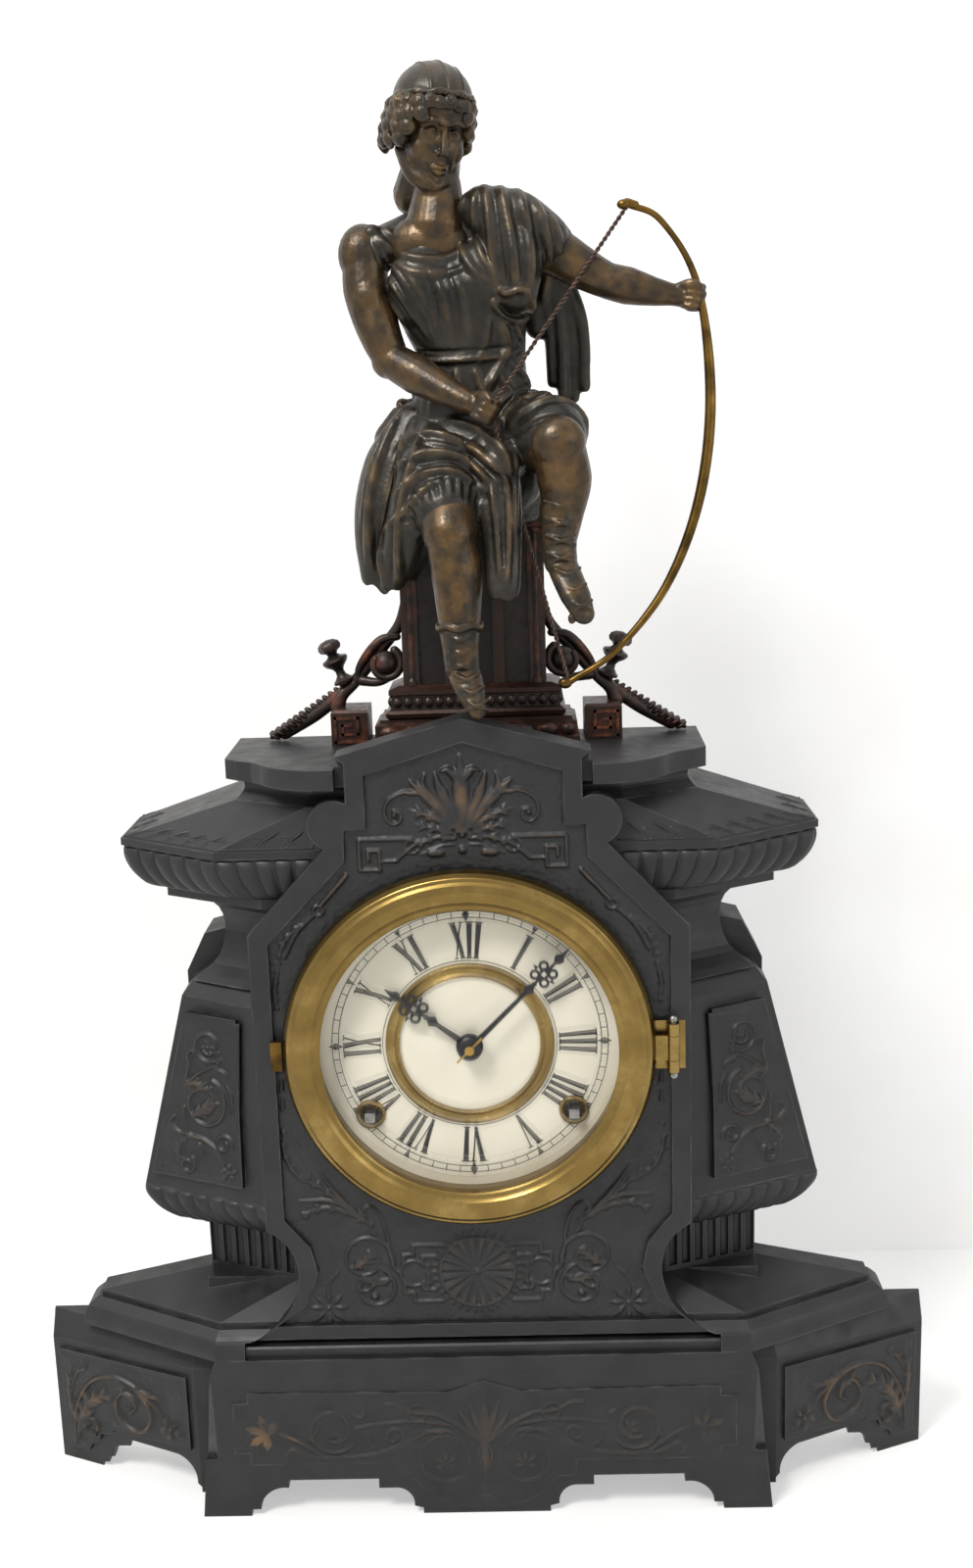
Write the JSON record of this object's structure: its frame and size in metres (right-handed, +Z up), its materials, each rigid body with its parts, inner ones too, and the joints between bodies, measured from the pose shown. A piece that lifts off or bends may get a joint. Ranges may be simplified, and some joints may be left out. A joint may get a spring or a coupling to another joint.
{
  "type": "figural mantel clock",
  "caption": "Cast-iron mantel clock with a glazed dial door, canted panelled sides, a footed base and a seated figure with a bow on top.",
  "frame": {"origin": "middle of the bounding box's foot, on the surface the clock stands on", "axes": "+Z up, the dial looks along -Y, +X to the right of someone looking at the dial"},
  "size_m": [0.377, 0.0868, 0.573],
  "materials": {
    "case_iron": "satin",
    "sheet_iron": "satin",
    "steel": "satin",
    "aged_brass": "satin",
    "movement_brass": "satin",
    "glass": "clear",
    "dial_paper": "matte",
    "blued_steel": "satin",
    "bronzed_spelter": "satin",
    "pedestal_bronze": "satin",
    "brass_wire": "satin",
    "bob_brass": "satin"
  },
  "bodies": {
    "case": {"base_plinth": "case_iron", "base_moulding": "case_iron", "fluted_neck": "case_iron", "left_side_body": "case_iron", "right_side_body": "case_iron", "upper_neck": "case_iron", "cornice": "case_iron", "top_plate": "case_iron", "front_plate": "case_iron", "back_plate": "sheet_iron", "case_bolts": "steel", "dial_base_ring": "aged_brass", "bezel_hinge_pin": "aged_brass", "dial_plate": "dial_paper", "dial_center_ring": "aged_brass", "winding_eyelets": "aged_brass", "movement_front_plate": "movement_brass", "movement_back_plate": "movement_brass", "movement_pillars": "movement_brass", "pillar_nuts": "steel", "time_mainspring": "steel", "strike_mainspring": "steel", "gong_coil": "steel", "gong_stand": "case_iron", "figure_pedestal": "pedestal_bronze", "figure_bolt": "steel", "figure_body": "bronzed_spelter", "figure_head": "bronzed_spelter", "string_arm": "bronzed_spelter", "bow_arm": "bronzed_spelter", "bow": "brass_wire", "bow_string": "brass_wire"},
    "bezel_door": {"bezel_ring": "aged_brass", "bezel_glass": "glass", "bezel_catch": "aged_brass"},
    "back_door": {"back_door": "sheet_iron"},
    "minute": {"cannon_pinion": "steel", "minute_hand": "blued_steel", "hand_collet": "aged_brass", "hand_pin": "steel"},
    "minute_wheel": {"minute_wheel": "movement_brass"},
    "hour": {"hour_wheel": "movement_brass", "hour_hand": "blued_steel"},
    "time_great": {"time_great_wheel": "movement_brass", "time_click": "steel"},
    "time_winder": {"time_winding_arbor": "steel"},
    "time_second": {"time_second_wheel": "movement_brass"},
    "center": {"center_wheel": "movement_brass"},
    "third": {"third_wheel": "movement_brass"},
    "escape": {"escape_wheel": "movement_brass"},
    "verge": {"verge": "steel"},
    "pendulum": {"pendulum_rod": "steel", "pendulum_bob": "bob_brass"},
    "strike_great": {"strike_great_wheel": "movement_brass", "strike_click": "steel"},
    "strike_winder": {"strike_winding_arbor": "steel"},
    "strike_second": {"strike_second_wheel": "movement_brass"},
    "strike_third": {"strike_third_wheel": "movement_brass"},
    "fly": {"strike_fly": "movement_brass"},
    "hammer": {"strike_hammer": "movement_brass"}
  },
  "joints": [
    {"name": "bezel_hinge", "type": "hinge", "parent": "case", "child": "bezel_door", "pos_m": [0.079, -0.0375, 0.2004], "axis": [0, 0, 1], "range_deg": [0, 110]},
    {"name": "back_door_hinge", "type": "hinge", "parent": "case", "child": "back_door", "pos_m": [0.0645, 0.0418, 0.2004], "axis": [0, 0, -1], "range_deg": [0, 110]},
    {"name": "minute_turn", "type": "hinge", "parent": "case", "child": "minute", "pos_m": [-0.001, 0, 0.2004], "axis": [0, 1, 0], "continuous": true},
    {"name": "minute_wheel_turn", "type": "hinge", "parent": "case", "child": "minute_wheel", "pos_m": [0.005, 0, 0.19001], "axis": [0, 1, 0], "continuous": true},
    {"name": "hour_turn", "type": "hinge", "parent": "case", "child": "hour", "pos_m": [-0.001, 0, 0.2004], "axis": [0, 1, 0], "continuous": true},
    {"name": "time_winding", "type": "hinge", "parent": "case", "child": "time_winder", "pos_m": [0.0398, 0, 0.1714], "axis": [0, 1, 0], "continuous": true},
    {"name": "time_great_turn", "type": "hinge", "parent": "case", "child": "time_great", "pos_m": [0.0398, 0, 0.1714], "axis": [0, 1, 0], "continuous": true},
    {"name": "time_second_turn", "type": "hinge", "parent": "case", "child": "time_second", "pos_m": [0.01735, 0, 0.19477], "axis": [0, 1, 0], "continuous": true},
    {"name": "center_turn", "type": "hinge", "parent": "case", "child": "center", "pos_m": [-0.001, 0, 0.2004], "axis": [0, 1, 0], "continuous": true},
    {"name": "third_turn", "type": "hinge", "parent": "case", "child": "third", "pos_m": [0.00808, 0, 0.21612], "axis": [0, 1, 0], "continuous": true},
    {"name": "escape_turn", "type": "hinge", "parent": "case", "child": "escape", "pos_m": [-0.001, 0, 0.23114], "axis": [0, 1, 0], "continuous": true},
    {"name": "pendulum_swing", "type": "hinge", "parent": "case", "child": "pendulum", "pos_m": [-0.001, 0, 0.24885], "axis": [0, 1, 0], "range_deg": [-3, 3]},
    {"name": "verge_rock", "type": "hinge", "parent": "case", "child": "verge", "pos_m": [-0.001, 0, 0.24885], "axis": [0, 1, 0], "range_deg": [-3, 3]},
    {"name": "strike_winding", "type": "hinge", "parent": "case", "child": "strike_winder", "pos_m": [-0.0418, 0, 0.1714], "axis": [0, 1, 0], "continuous": true},
    {"name": "strike_great_turn", "type": "hinge", "parent": "case", "child": "strike_great", "pos_m": [-0.0418, 0, 0.1714], "axis": [0, 1, 0], "continuous": true},
    {"name": "strike_second_turn", "type": "hinge", "parent": "case", "child": "strike_second", "pos_m": [-0.04455, 0, 0.20278], "axis": [0, 1, 0], "continuous": true},
    {"name": "strike_third_turn", "type": "hinge", "parent": "case", "child": "strike_third", "pos_m": [-0.03455, 0, 0.2201], "axis": [0, 1, 0], "continuous": true},
    {"name": "fly_turn", "type": "hinge", "parent": "case", "child": "fly", "pos_m": [-0.03197, 0, 0.23472], "axis": [0, 1, 0], "continuous": true},
    {"name": "hammer_swing", "type": "hinge", "parent": "case", "child": "hammer", "pos_m": [-0.031, 0, 0.1804], "axis": [0, 1, 0], "range_deg": [0, 10]}
  ],
  "couplings": [
    {"joint": "minute_wheel_turn", "follows": "minute_turn", "ratio": -0.33333},
    {"joint": "hour_turn", "follows": "minute_turn", "ratio": 0.083333},
    {"joint": "escape_turn", "follows": "third_turn", "ratio": -12},
    {"joint": "center_turn", "follows": "third_turn", "ratio": -0.1},
    {"joint": "time_second_turn", "follows": "third_turn", "ratio": 0.033333},
    {"joint": "time_great_turn", "follows": "third_turn", "ratio": -0.0066667},
    {"joint": "strike_second_turn", "follows": "strike_third_turn", "ratio": -0.11111},
    {"joint": "strike_great_turn", "follows": "strike_third_turn", "ratio": 0.018519},
    {"joint": "fly_turn", "follows": "strike_third_turn", "ratio": -10},
    {"joint": "verge_rock", "follows": "pendulum_swing", "ratio": 1}
  ]
}
